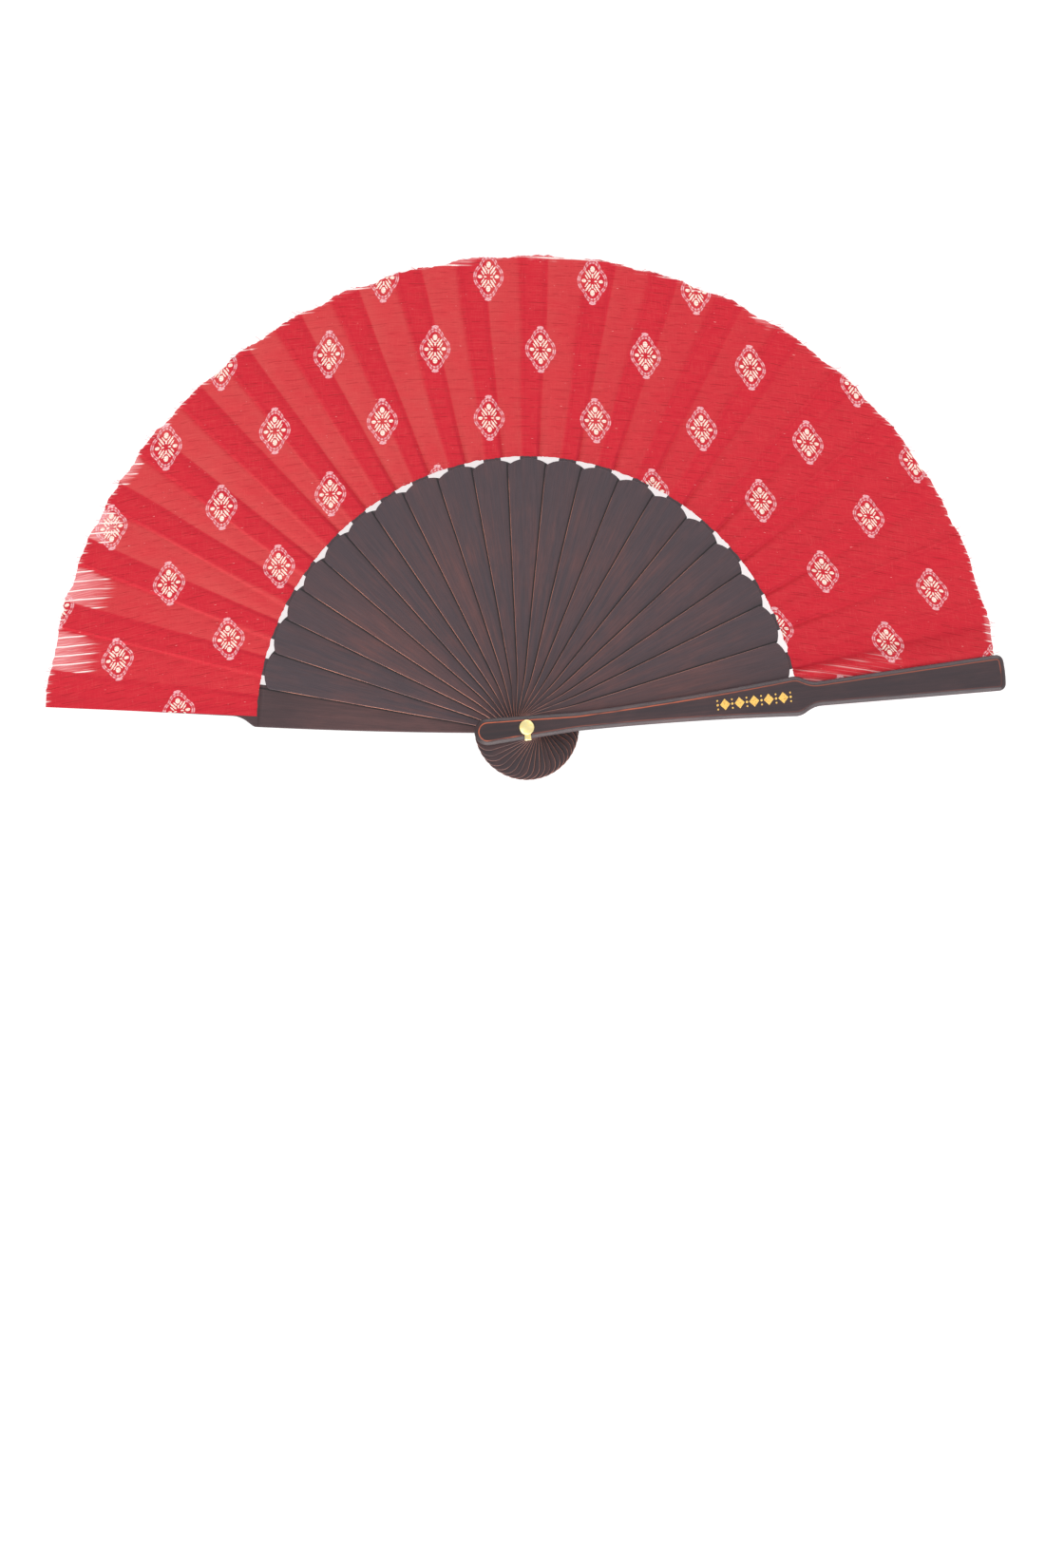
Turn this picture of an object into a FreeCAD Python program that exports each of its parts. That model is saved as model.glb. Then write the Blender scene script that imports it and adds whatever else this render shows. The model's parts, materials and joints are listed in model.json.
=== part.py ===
import FreeCAD, Part
import os

import Sketcher

# A folding hand fan, spread open. Twenty thin wooden ribs and two thick guards turn on one brass
# rivet, and a pleated cloth leaf joins them above the ribs' blades.
#
# Frame: the rivet's axis is Z and passes through the origin. The back guard lies lowest, with its
# outer face at Z = 0, and the front guard lies on top. X runs towards the front guard and Y towards
# the middle of the spread leaf. Every stick is drawn along its own +X from the rivet, then turned.

RIBS = 20
PLEATS = RIBS + 1
TOUCHING = 1e-6  # mm, the same place but for rounding errors
NEAR = 0.01  # mm, close enough to pick an edge out by its place

# Lengths in millimetres and turns in degrees.
SIZES = {
    # thicknesses, and the air between neighbouring blades
    "guard_thick": 3.5,
    "blade_thick": 1.0,
    "level_gap": 0.1,
    "stick_thick": 0.45,
    "cloth_thick": 0.2,
    # the rounded head below the rivet and the waist above it, the same on ribs and guards
    "head_reach": 23.4,
    "head_half": 6.3,
    "head_round": 6.0,
    "waist_at": 22.0,
    "waist_half": 4.15,
    # a rib's blade, which ends in a scallop
    "rib_shoulder_at": 116.9,
    "rib_shoulder_half": 9.3,
    "rib_reach": 119.9,
    "rib_corner_round": 2.4,
    # a rib's thin upper stick, which carries the leaf
    "stick_root_at": 108.0,
    "stick_root_half": 4.0,
    "stick_tip_at": 206.6,
    "stick_tip_half": 2.9,
    "stick_reach": 207.0,
    "stick_round": 2.0,
    # a guard's blade, neck and tip; the back guard's blade is fuller than the front guard's
    "swell_at": 77.0,
    "swell_half": 5.95,
    "back_swell_half": 7.7,
    "shoulder_at": 121.5,
    "shoulder_half": 9.0,
    "back_shoulder_half": 9.6,
    "shoulder_round": 8.0,
    "back_shoulder_round": 3.0,
    "neck_at": 128.0,
    "neck_half": 5.4,
    "neck_round": 12.0,
    "tip_at": 213.0,
    "tip_half": 8.1,
    "tip_round": 2.6,
    "guard_reach": 213.6,
    "bevel": 1.8,
    # the step in a guard's inner face that takes the end of the leaf
    "rebate_from": 119.9,
    "rebate_deep": 0.6,
    # the rivet and its fittings
    "rivet_radius": 1.5,
    "bore_radius": 1.55,
    "foot_radius": 3.3,
    "foot_thick": 0.8,
    "recess_radius": 3.4,
    "washer_radius": 3.3,
    "washer_thick": 0.5,
    "washer_gap": 0.05,
    "cap_rim": 0.3,
    "cap_height": 0.95,
    "tab_wide": 2.85,
    "tab_reach": 5.85,
    "tab_drop": 2.6,
    # the leaf, whose creases lie a small turn to the left of each stick's middle
    "leaf_inner": 120.5,
    "leaf_outer": 212.0,
    "crease_turn": 0.8,
    "leaf_end_turn": 2.2,
    "leaf_tuck_turn": 1.0,
    # where the back guard points
    "back_turn": 175.3,
}

# The turn from each stick to the next, from the back guard round to the front guard. The fan is
# spread by hand, so the steps are a little uneven.
SPREAD = [
    8.4, 8.0, 7.8, 7.3, 7.8, 7.4, 7.6, 7.7, 8.1, 7.8, 7.8,
    8.3, 7.8, 8.4, 8.2, 8.8, 8.3, 8.6, 8.2, 8.7, 7.7,
]  # fmt: skip
for number, turn in enumerate(SPREAD, 1):
    SIZES["gap_%02d" % number] = turn

doc = FreeCAD.newDocument("folding_fan")
sheet = doc.addObject("Spreadsheet::Sheet", "sizes")
for row, (alias, number) in enumerate(SIZES.items(), 1):
    sheet.set("A%d" % row, alias)
    sheet.set("B%d" % row, str(number))
    sheet.setAlias("B%d" % row, alias)
doc.recompute()

pieces = {}


def size(term):
    """The value of a size, or of its negative when the term starts with a minus."""
    return -sheet.get(term[1:]) if term.startswith("-") else sheet.get(term)


def cell(term):
    """The same term as an expression that reads the sheet."""
    return "-sizes." + term[1:] if term.startswith("-") else "sizes." + term


def mirrored(point):
    """The point's twin on the other side of X."""
    return FreeCAD.Vector(point.x, -point.y, point.z) if point else None


def add_body(name):
    body = doc.addObject("PartDesign::Body", name)
    body.Label = name
    pieces[name] = body
    return body


def add_sketch(body, name, plane="XY_Plane"):
    sketch = body.newObject("Sketcher::SketchObject", name)
    origin_plane = [f for f in body.Origin.OriginFeatures if f.Role == plane][0]
    sketch.AttachmentSupport = [(origin_plane, "")]
    sketch.MapMode = "FlatFace"
    return sketch


def bind(sketch, name, expression, *constraint):
    """Adds a driving dimension and binds it to the sheet."""
    index = sketch.addConstraint(Sketcher.Constraint(*constraint))
    sketch.renameConstraint(index, name)
    sketch.setExpression("Constraints." + name, expression)


def draw_stick(sketch, corners, reach, bow=None):
    """A closed outline, the same on both sides of X. corners lists its corners on the +Y side from
    the tail to the tip, each as the names of its X and Y, and an arc through (reach, 0) ends it.
    bow names a point that the side between the second and third corners curves through."""
    left = [FreeCAD.Vector(size(x), size(y), 0) for x, y in corners]
    crown = FreeCAD.Vector(size(reach), 0, 0)
    bowed = FreeCAD.Vector(size(bow[0]), size(bow[1]), 0) if bow else None
    sides = range(len(corners) - 1)
    route = [(left[i], bowed if i == 1 else None, left[i + 1]) for i in sides]
    route.append((left[-1], crown, mirrored(left[-1])))
    route += [tuple(mirrored(p) for p in leg[::-1]) for leg in route[-2::-1]]
    route.append((mirrored(left[0]), None, left[0]))
    arc, last = len(corners) - 1, len(route) - 1

    ends = []
    for start, via, end in route:
        edge = Part.Arc(start, via, end) if via else Part.LineSegment(start, end)
        number = sketch.addGeometry(edge, False)
        # an arc may be stored the other way round, so its ends are told apart by place
        kept = sketch.getPoint(number, 1).distanceToPoint(start) < TOUCHING
        ends.append((1, 2) if kept else (2, 1))
    for n in range(last + 1):
        after = (n + 1) % (last + 1)
        sketch.addConstraint(
            Sketcher.Constraint("Coincident", n, ends[n][1], after, ends[after][0])
        )
    for n, (x, y) in enumerate(corners):
        twin = last - n
        bind(sketch, x.strip("-") + "_x", cell(x), "DistanceX", -1, 1, n, ends[n][0], size(x))
        bind(sketch, y + "_y", cell(y), "DistanceY", -1, 1, n, ends[n][0], size(y))
        sketch.addConstraint(
            Sketcher.Constraint("Symmetric", n, ends[n][0], twin, ends[twin][0], -1)
        )
    rise = "(sizes.%s - sizes.%s)" % (reach, corners[-1][0])
    radius = "(sizes.%s^2 + %s^2) / (2 * %s)" % (corners[-1][1], rise, rise)
    bind(sketch, "crown_radius", radius, "Radius", arc, sketch.Geometry[arc].Radius)
    if bow:
        peg = sketch.addGeometry(Part.Point(bowed), True)
        bind(sketch, "bow_x", cell(bow[0]), "DistanceX", -1, 1, peg, 1, bowed.x)
        bind(sketch, "bow_y", cell(bow[1]), "DistanceY", -1, 1, peg, 1, bowed.y)
        sketch.addConstraint(Sketcher.Constraint("PointOnObject", peg, 1, 1))
        sketch.addConstraint(Sketcher.Constraint("Equal", 1, last - 2))


def draw_circle(sketch, alias):
    round_edge = Part.Circle(FreeCAD.Vector(), FreeCAD.Vector(0, 0, 1), size(alias))
    circle = sketch.addGeometry(round_edge, False)
    sketch.addConstraint(Sketcher.Constraint("Coincident", circle, 3, -1, 1))
    bind(sketch, alias, cell(alias), "Radius", circle, size(alias))


def pad(body, name, sketch, height):
    feature = body.newObject("PartDesign::Pad", name)
    feature.Profile = sketch
    feature.setExpression("Length", height)
    doc.recompute()
    return feature


def pocket(body, name, sketch, depth, into_plus_z):
    """Cuts from the sketch's plane and makes sure that something came off."""
    before = body.Shape.Volume
    feature = body.newObject("PartDesign::Pocket", name)
    feature.Profile = sketch
    feature.Reversed = into_plus_z
    feature.setExpression("Length", depth)
    doc.recompute()
    if not body.Shape.Volume < before - 1.0:
        raise RuntimeError("%s cuts nothing from %s" % (name, body.Label))
    return feature


def round_corners(body, base, corner, alias):
    """Rounds the two upright edges at a corner of the outline, left and right."""
    x, y = size(corner[0]), size(corner[1])
    names = []
    for number, edge in enumerate(base.Shape.Edges, 1):
        at = [v.Point for v in edge.Vertexes]
        upright = abs(at[0].y - at[-1].y) < NEAR
        if upright and all(abs(p.x - x) < NEAR and abs(abs(p.y) - y) < NEAR for p in at):
            names.append("Edge%d" % number)
    if len(names) != 2:
        raise RuntimeError("%s has %d edges at %s" % (body.Label, len(names), corner))
    feature = body.newObject("PartDesign::Fillet", "%s_%s" % (body.Label, alias))
    feature.Base = (base, names)
    feature.setExpression("Radius", cell(alias))
    doc.recompute()
    return feature


def level(number):
    """The height of a stick's lower face above the origin, as an expression. The back guard is
    stick 0, the ribs are sticks 1 to RIBS, and the front guard comes after them."""
    if number == 0:
        return "0"
    first = "sizes.guard_thick + sizes.level_gap"
    return "%s + %d * (sizes.blade_thick + sizes.level_gap)" % (first, number - 1)


def heading(number):
    """Where a stick points, as an expression."""
    return " - ".join(["sizes.back_turn"] + ["sizes.gap_%02d" % n for n in range(1, number + 1)])


def place(body, turn, height):
    body.Placement = FreeCAD.Placement(
        FreeCAD.Vector(), FreeCAD.Rotation(FreeCAD.Vector(0, 0, 1), 0)
    )
    body.setExpression(".Placement.Rotation.Angle", "(%s) * 1 deg" % turn)
    body.setExpression(".Placement.Base.z", "(%s) * 1 mm" % height)


HEAD = ("-head_reach", "head_half")
WAIST = ("waist_at", "waist_half")
RIB_SHOULDER = ("rib_shoulder_at", "rib_shoulder_half")
STICK_ROOT = ("stick_root_at", "stick_root_half")
STICK_TIP = ("stick_tip_at", "stick_tip_half")
SWELL = ("swell_at", "swell_half")
BACK_SWELL = ("swell_at", "back_swell_half")
SHOULDER = ("shoulder_at", "shoulder_half")
BACK_SHOULDER = ("shoulder_at", "back_shoulder_half")
NECK = ("neck_at", "neck_half")
TIP = ("tip_at", "tip_half")


def make_rib(number):
    """A thin blade from head to scallop, with a thinner, narrow stick going on under the leaf."""
    body = add_body("rib_%02d" % number)
    outline = add_sketch(body, body.Label + "_outline")
    draw_stick(outline, [HEAD, WAIST, RIB_SHOULDER], "rib_reach")
    draw_circle(outline, "bore_radius")
    feature = pad(body, body.Label + "_blade", outline, "sizes.blade_thick")
    feature = round_corners(body, feature, HEAD, "head_round")
    round_corners(body, feature, RIB_SHOULDER, "rib_corner_round")
    stick = add_sketch(body, body.Label + "_stick_outline")
    draw_stick(stick, [STICK_ROOT, STICK_TIP], "stick_reach")
    feature = pad(body, body.Label + "_stick", stick, "sizes.stick_thick")
    round_corners(body, feature, STICK_TIP, "stick_round")
    place(body, heading(number), level(number))


def make_guard(name, number, outer_face_up):
    """A thick outer stick: rounded head, waist, swelling blade, S-shaped shoulder, narrow neck and
    flared tip. Its outer face has a bevel all round, and its inner face a step for the leaf."""
    body = add_body(name)
    outline = add_sketch(body, name + "_outline")
    shoulder, shoulder_round, swell = SHOULDER, "shoulder_round", SWELL
    if not outer_face_up:
        shoulder, shoulder_round, swell = BACK_SHOULDER, "back_shoulder_round", BACK_SWELL
    draw_stick(outline, [HEAD, WAIST, shoulder, NECK, TIP], "guard_reach", bow=swell)
    draw_circle(outline, "bore_radius")
    feature = pad(body, name + "_blank", outline, "sizes.guard_thick")
    rounded = [
        (HEAD, "head_round"),
        (shoulder, shoulder_round),
        (NECK, "neck_round"),
        (TIP, "tip_round"),
    ]
    for corner, alias in rounded:
        feature = round_corners(body, feature, corner, alias)

    outer = size("guard_thick") if outer_face_up else 0.0
    rim = []
    for count, edge in enumerate(feature.Shape.Edges, 1):
        flat = all(abs(v.Point.z - outer) < TOUCHING for v in edge.Vertexes)
        bore = edge.BoundBox.DiagonalLength < 4 * size("bore_radius") and abs(edge.CenterOfMass.x) < 1
        if flat and not bore:
            rim.append("Edge%d" % count)
    bevel = body.newObject("PartDesign::Chamfer", name + "_bevel")
    bevel.Base = (feature, rim)
    bevel.setExpression("Size", "sizes.bevel")
    doc.recompute()

    step = add_sketch(body, name + "_step")
    low = FreeCAD.Vector(size("rebate_from"), -size("head_reach"), 0)
    high = FreeCAD.Vector(size("guard_reach") + size("tip_half"), size("head_reach"), 0)
    corners = [low, FreeCAD.Vector(high.x, low.y, 0), high, FreeCAD.Vector(low.x, high.y, 0)]
    sides = [Part.LineSegment(a, b) for a, b in zip(corners, corners[1:] + corners[:1])]
    first = [step.addGeometry(side, False) for side in sides][0]
    for n in range(4):
        step.addConstraint(Sketcher.Constraint("Coincident", first + n, 2, first + (n + 1) % 4, 1))
    for n, kind in enumerate(["Horizontal", "Vertical", "Horizontal", "Vertical"]):
        step.addConstraint(Sketcher.Constraint(kind, first + n))
    bind(step, "rebate_from", "sizes.rebate_from", "DistanceX", -1, 1, first, 1, low.x)
    if not outer_face_up:
        step.setExpression(".AttachmentOffset.Base.z", "(sizes.guard_thick) * 1 mm")
    pocket(body, name + "_rebate", step, "sizes.rebate_deep", outer_face_up)

    if not outer_face_up:
        recess = add_sketch(body, name + "_recess_outline")
        draw_circle(recess, "recess_radius")
        pocket(body, name + "_recess", recess, "sizes.foot_thick", True)
    place(body, heading(number), level(number))


def make_pleat(number):
    """One gap's stretch of the leaf, flat on the stick to its left and reaching the left side of
    the next stick. The first starts on the back guard, and the last ends under the front guard."""
    body = add_body("leaf_pleat_%02d" % number)
    start = heading(number - 1) + (
        " + sizes.leaf_end_turn" if number == 1 else " + sizes.crease_turn"
    )
    end = heading(number) + (
        " - sizes.leaf_tuck_turn" if number == PLEATS else " + sizes.crease_turn"
    )
    wide = size("gap_%02d" % number)
    if number == 1:
        wide += size("leaf_end_turn") - size("crease_turn")
    if number == PLEATS:
        wide += size("leaf_tuck_turn") + size("crease_turn")
    half = FreeCAD.Units.Quantity("%f deg" % (wide / 2)).getValueAs("rad").Value
    middle, up = FreeCAD.Vector(), FreeCAD.Vector(0, 0, 1)
    sketch = add_sketch(body, body.Label + "_outline")
    inner, outer = [
        sketch.addGeometry(
            Part.ArcOfCircle(Part.Circle(middle, up, size(alias)), -half, half), False
        )
        for alias in ("leaf_inner", "leaf_outer")
    ]
    sides = []
    for end_point in (1, 2):
        near, far = sketch.getPoint(inner, end_point), sketch.getPoint(outer, end_point)
        side = sketch.addGeometry(Part.LineSegment(near, far), False)
        sketch.addConstraint(Sketcher.Constraint("Coincident", side, 1, inner, end_point))
        sketch.addConstraint(Sketcher.Constraint("Coincident", side, 2, outer, end_point))
        sides.append(side)
    for arc, alias in ((inner, "leaf_inner"), (outer, "leaf_outer")):
        sketch.addConstraint(Sketcher.Constraint("Coincident", arc, 3, -1, 1))
        bind(sketch, alias, cell(alias), "Radius", arc, size(alias))
    sketch.addConstraint(Sketcher.Constraint("Symmetric", inner, 1, inner, 2, -1))
    bind(
        sketch,
        "spread",
        "((%s) - (%s)) * 1 deg" % (start, end),
        "Angle", sides[0], 1, sides[1], 1, 2 * half,
    )  # fmt: skip
    pad(body, body.Label + "_cloth", sketch, "sizes.cloth_thick")
    if number == 1:
        rest = "sizes.guard_thick - sizes.rebate_deep"
    else:
        rest = level(number - 1) + " + sizes.stick_thick"
    place(body, "((%s) + (%s)) / 2" % (start, end), rest)


def add_part(kind, name, **sizes_of):
    feature = doc.addObject(kind, name)
    for field, expression in sizes_of.items():
        feature.setExpression(field, expression)
    return feature


def lift(feature, height, x=None, y=None):
    feature.setExpression(".Placement.Base.z", "(%s) * 1 mm" % height)
    if x:
        feature.setExpression(".Placement.Base.x", "(%s) * 1 mm" % x)
    if y:
        feature.setExpression(".Placement.Base.y", "(%s) * 1 mm" % y)


TOP = level(RIBS + 1) + " + sizes.guard_thick"


def make_rivet():
    """A shank through every stick, on a flat foot that sits flush in the back guard."""
    foot = add_part(
        "Part::Cylinder", "rivet_foot", Radius="sizes.foot_radius", Height="sizes.foot_thick"
    )
    shank = add_part(
        "Part::Cylinder",
        "rivet_shank",
        Radius="sizes.rivet_radius",
        Height="%s + sizes.washer_thick + sizes.washer_gap" % TOP,
    )
    rivet = doc.addObject("Part::MultiFuse", "rivet")
    rivet.Shapes = [foot, shank]
    rivet.Label = "rivet"
    pieces["rivet"] = rivet


def make_cap():
    """The domed brass cap over the washer, closed on the end of the shank."""
    body = add_body("rivet_cap")
    sketch = add_sketch(body, "rivet_cap_profile", "XZ_Plane")
    radius, rim, high = size("washer_radius"), size("cap_rim"), size("cap_height")
    corners = [
        FreeCAD.Vector(0, 0, 0),
        FreeCAD.Vector(radius, 0, 0),
        FreeCAD.Vector(radius, rim, 0),
        FreeCAD.Vector(0, high, 0),
    ]
    # the dome is level at its middle, so its arc's centre lies on the axis
    dome = (radius**2 + (high - rim) ** 2) / (2 * (high - rim))
    centre = FreeCAD.Vector(0, high - dome, 0)
    crest = centre + (corners[2] - centre + corners[3] - centre).normalize() * dome
    base = sketch.addGeometry(Part.LineSegment(corners[0], corners[1]), False)
    side = sketch.addGeometry(Part.LineSegment(corners[1], corners[2]), False)
    arc = sketch.addGeometry(Part.Arc(corners[2], crest, corners[3]), False)
    axis = sketch.addGeometry(Part.LineSegment(corners[3], corners[0]), False)
    sketch.addConstraint(Sketcher.Constraint("Coincident", base, 2, side, 1))
    sketch.addConstraint(Sketcher.Constraint("Coincident", side, 2, arc, 1))
    sketch.addConstraint(Sketcher.Constraint("Coincident", arc, 2, axis, 1))
    sketch.addConstraint(Sketcher.Constraint("Coincident", axis, 2, base, 1))
    bind(sketch, "radius", "sizes.washer_radius", "DistanceX", -1, 1, base, 2, radius)
    bind(sketch, "rim", "sizes.cap_rim", "DistanceY", -1, 1, arc, 1, rim)
    bind(sketch, "high", "sizes.cap_height", "DistanceY", -1, 1, arc, 2, high)
    turned = body.newObject("PartDesign::Revolution", "rivet_cap_dome")
    turned.Profile = sketch
    turned.ReferenceAxis = (sketch, ["V_Axis"])
    turned.Angle = 360
    place(body, "0", "%s + sizes.washer_thick + sizes.washer_gap" % TOP)


def make_washer():
    """A disc under the cap with a tab that crosses the front guard and folds down over its edge.
    It is drawn along the guard's own axes, with the tab towards -Y, and turned with the guard."""
    disc = add_part(
        "Part::Cylinder", "washer_disc", Radius="sizes.washer_radius", Height="sizes.washer_thick"
    )
    tab = add_part(
        "Part::Box",
        "washer_tab",
        Length="sizes.tab_wide",
        Width="sizes.tab_reach",
        Height="sizes.washer_thick",
    )
    lift(tab, "0", x="-sizes.tab_wide / 2", y="-sizes.tab_reach")
    fold = add_part(
        "Part::Box",
        "washer_fold",
        Length="sizes.tab_wide",
        Width="sizes.washer_thick",
        Height="sizes.tab_drop + sizes.washer_thick",
    )
    lift(fold, "-sizes.tab_drop", x="-sizes.tab_wide / 2", y="-sizes.tab_reach")
    sheet_metal = doc.addObject("Part::MultiFuse", "washer_blank")
    sheet_metal.Shapes = [disc, tab, fold]
    hole = add_part(
        "Part::Cylinder", "washer_hole", Radius="sizes.bore_radius", Height="sizes.washer_thick"
    )
    washer = doc.addObject("Part::Cut", "tab_washer")
    washer.Base = sheet_metal
    washer.Tool = hole
    washer.Label = "tab_washer"
    place(washer, heading(RIBS + 1), TOP)
    pieces["tab_washer"] = washer


make_guard("back_guard", 0, outer_face_up=False)
for rib in range(1, RIBS + 1):
    make_rib(rib)
make_guard("front_guard", RIBS + 1, outer_face_up=True)
for pleat in range(1, PLEATS + 1):
    make_pleat(pleat)
make_rivet()
make_cap()
make_washer()
doc.recompute()

for thing in doc.Objects:
    if {"Invalid", "Error"} & set(thing.State):
        raise RuntimeError("%s is %s" % (thing.Label, thing.State))
for name, piece in pieces.items():
    if piece.Shape.isNull() or not piece.Shape.isValid() or len(piece.Shape.Solids) != 1:
        raise RuntimeError("%s is not one valid solid" % name)

os.makedirs("parts", exist_ok=True)
for name, piece in pieces.items():
    piece.Shape.exportStep(os.path.join("parts", name + ".step"))
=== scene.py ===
"""The looks of an open folding fan: dark wooden sticks on a brass rivet and a pleated red leaf.

Lengths below are in millimetres and turns in degrees, as a fan maker would say them. Every mesh
is made in the frame's metres. A stick is drawn along its own +X from the rivet and then turned.
"""

import json
import math
import random

import bpy
import numpy as np
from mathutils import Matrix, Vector, noise


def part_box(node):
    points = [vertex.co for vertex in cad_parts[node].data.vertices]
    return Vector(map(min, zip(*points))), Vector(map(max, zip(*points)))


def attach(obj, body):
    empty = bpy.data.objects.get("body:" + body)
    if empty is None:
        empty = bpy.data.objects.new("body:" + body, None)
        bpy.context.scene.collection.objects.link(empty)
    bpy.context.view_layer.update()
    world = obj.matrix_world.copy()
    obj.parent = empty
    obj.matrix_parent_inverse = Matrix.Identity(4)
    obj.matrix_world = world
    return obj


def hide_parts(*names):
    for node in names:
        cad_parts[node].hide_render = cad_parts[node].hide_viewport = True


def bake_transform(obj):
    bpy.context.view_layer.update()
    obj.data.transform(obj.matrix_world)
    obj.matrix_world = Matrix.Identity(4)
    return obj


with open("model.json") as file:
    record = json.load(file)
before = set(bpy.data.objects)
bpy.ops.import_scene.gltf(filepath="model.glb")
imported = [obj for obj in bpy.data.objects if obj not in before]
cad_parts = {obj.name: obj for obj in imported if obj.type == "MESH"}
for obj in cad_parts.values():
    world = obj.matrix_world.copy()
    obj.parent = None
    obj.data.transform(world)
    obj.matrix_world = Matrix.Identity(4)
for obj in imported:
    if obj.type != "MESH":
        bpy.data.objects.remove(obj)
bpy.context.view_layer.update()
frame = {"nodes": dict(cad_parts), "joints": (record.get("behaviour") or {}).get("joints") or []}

MM = 0.001
random.seed(7)

# ---------------------------------------------------------------- the fan's own measures

RIBS = 20
BACK_TURN = 175.3
GAPS = {j["child"]: j["range_deg"][1] for j in frame["joints"]}
STICKS = ["back_guard"] + ["rib_%02d" % n for n in range(1, RIBS + 1)] + ["front_guard"]

TURNS = [BACK_TURN]
for stick in STICKS[1:]:
    TURNS.append(TURNS[-1] - GAPS[stick])
LEVELS = [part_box(stick)[0].z / MM for stick in STICKS]

GUARD_THICK = 3.5
STICK_THICK = 0.45  # a rib's narrow upper stick

HEAD_REACH, HEAD_HALF, HEAD_ROUND = 23.4, 6.3, 6.0
WAIST_AT, WAIST_HALF, WAIST_ROUND, GUARD_WAIST_ROUND = 22.0, 4.15, 120.0, 30.0
RIB_SHOULDER_AT, RIB_SHOULDER_HALF, RIB_REACH = 116.9, 9.3, 119.9
RIB_CORNER_ROUND = 2.4
SWELL_AT, SWELL_HALF, BACK_SWELL_HALF = 77.0, 5.95, 7.7
SHOULDER_AT, SHOULDER_HALF, BACK_SHOULDER_HALF = 121.5, 9.0, 9.6
SHOULDER_ROUND, BACK_SHOULDER_ROUND = 8.0, 3.0
NECK_AT, NECK_HALF, NECK_ROUND = 128.0, 5.4, 12.0
TIP_AT, TIP_HALF, TIP_ROUND, GUARD_REACH = 213.0, 8.1, 3.2, 213.6
REBATE_FROM, REBATE_DEEP = 119.9, 0.6
STICK_ROOT_AT, STICK_ROOT_HALF = 114.0, 3.95
STICK_TIP_AT, STICK_TIP_HALF, STICK_TIP_ROUND, STICK_REACH = 206.6, 2.9, 1.6, 207.0

BORE_RADIUS = 1.55
WASHER_RADIUS, WASHER_THICK = 3.3, 0.5
CAP_RIM, CAP_HEIGHT = 0.3, 0.95
TAB_WIDE, TAB_REACH, TAB_DROP = 2.85, 5.85, 2.6
FOOT_PROUD = 0.12  # how far the rivet's foot stands out of the back guard's outer face

LEAF_INNER, LEAF_MEAN_OUTER, LEAF_OUTER = 120.3, 212.0, 213.0
CREASE_TURN = 0.8  # a crease, left of its stick's middle
LEAF_END_TURN = 2.25  # the leaf's left end, left of the back guard's middle
LEAF_TUCK_TURN = 1.0  # its right end, right of the front guard's middle
FACET_TURN = 3.1  # from a crease to the valley where the pale facet starts
CLOTH_LIFT = 0.07  # the cloth's middle above the stick it lies on


def direction(turn):
    return Vector((math.cos(math.radians(turn)), math.sin(math.radians(turn)), 0.0))


def turned(points, turn, level):
    """Points drawn along +X, turned about the rivet and raised."""
    c, s = math.cos(math.radians(turn)), math.sin(math.radians(turn))
    return [(x * c - y * s, x * s + y * c, level + z) for x, y, z in points]


def smooth(t):
    """0 up to t = 0, 1 from t = 1 on, and an S-curve between."""
    t = min(1.0, max(0.0, t))
    return t * t * (3.0 - 2.0 * t)


def noise_at(x, y, z):
    return noise.noise(Vector((x, y, z)))


def new_mesh(name, points, faces):
    """A smooth-shaded object from points in millimetres in the fan's own frame."""
    mesh = bpy.data.meshes.new(name)
    mesh.from_pydata([Vector(p) * MM for p in points], [], faces)
    mesh.validate()
    mesh.shade_smooth()
    piece = bpy.data.objects.new(name, mesh)
    bpy.context.scene.collection.objects.link(piece)
    return piece


def add_values(piece, name, values):
    attribute = piece.data.attributes.new(name, "FLOAT", "POINT")
    attribute.data.foreach_set("value", np.array(values, np.float32))


def add_uv(piece, name, pairs):
    """A UV map from one pair of numbers for each vertex."""
    layer = piece.data.uv_layers.new(name=name)
    corners = np.zeros(len(piece.data.loops), np.int32)
    piece.data.loops.foreach_get("vertex_index", corners)
    layer.data.foreach_set("uv", np.array(pairs, np.float32)[corners].ravel())


# ---------------------------------------------------------------- shader building


class Term:
    """A number in a shader, so that arithmetic on it adds Math nodes."""

    def __init__(self, tree, socket):
        self.tree, self.socket = tree, socket

    def math(self, operation, *others):
        node = self.tree.nodes.new("ShaderNodeMath")
        node.operation = operation
        for place, value in enumerate((self,) + others):
            put(self.tree, value, node.inputs[place])
        return Term(self.tree, node.outputs[0])

    def __add__(self, other):
        return self.math("ADD", other)

    def __sub__(self, other):
        return self.math("SUBTRACT", other)

    def __mul__(self, other):
        return self.math("MULTIPLY", other)

    def __truediv__(self, other):
        return self.math("DIVIDE", other)

    def __abs__(self):
        return self.math("ABSOLUTE")

    def __pow__(self, other):
        return self.math("POWER", other)

    def most(self, other):
        return self.math("MAXIMUM", other)

    def least(self, other):
        return self.math("MINIMUM", other)

    def wrapped(self, half):
        """The same number brought into -half to half by whole periods."""
        return self.math("WRAP", half, -half)

    def ramp(self, low, high, start=0.0, end=1.0):
        """Goes smoothly from start to end as the number goes from low to high."""
        node = self.tree.nodes.new("ShaderNodeMapRange")
        node.interpolation_type = "SMOOTHSTEP"
        for place, value in enumerate((self, low, high, start, end)):
            put(self.tree, value, node.inputs[place])
        return Term(self.tree, node.outputs[0])


def put(tree, value, socket):
    if isinstance(value, Term):
        tree.links.new(value.socket, socket)
    elif hasattr(value, "is_output"):
        tree.links.new(value, socket)
    else:
        socket.default_value = value


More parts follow.
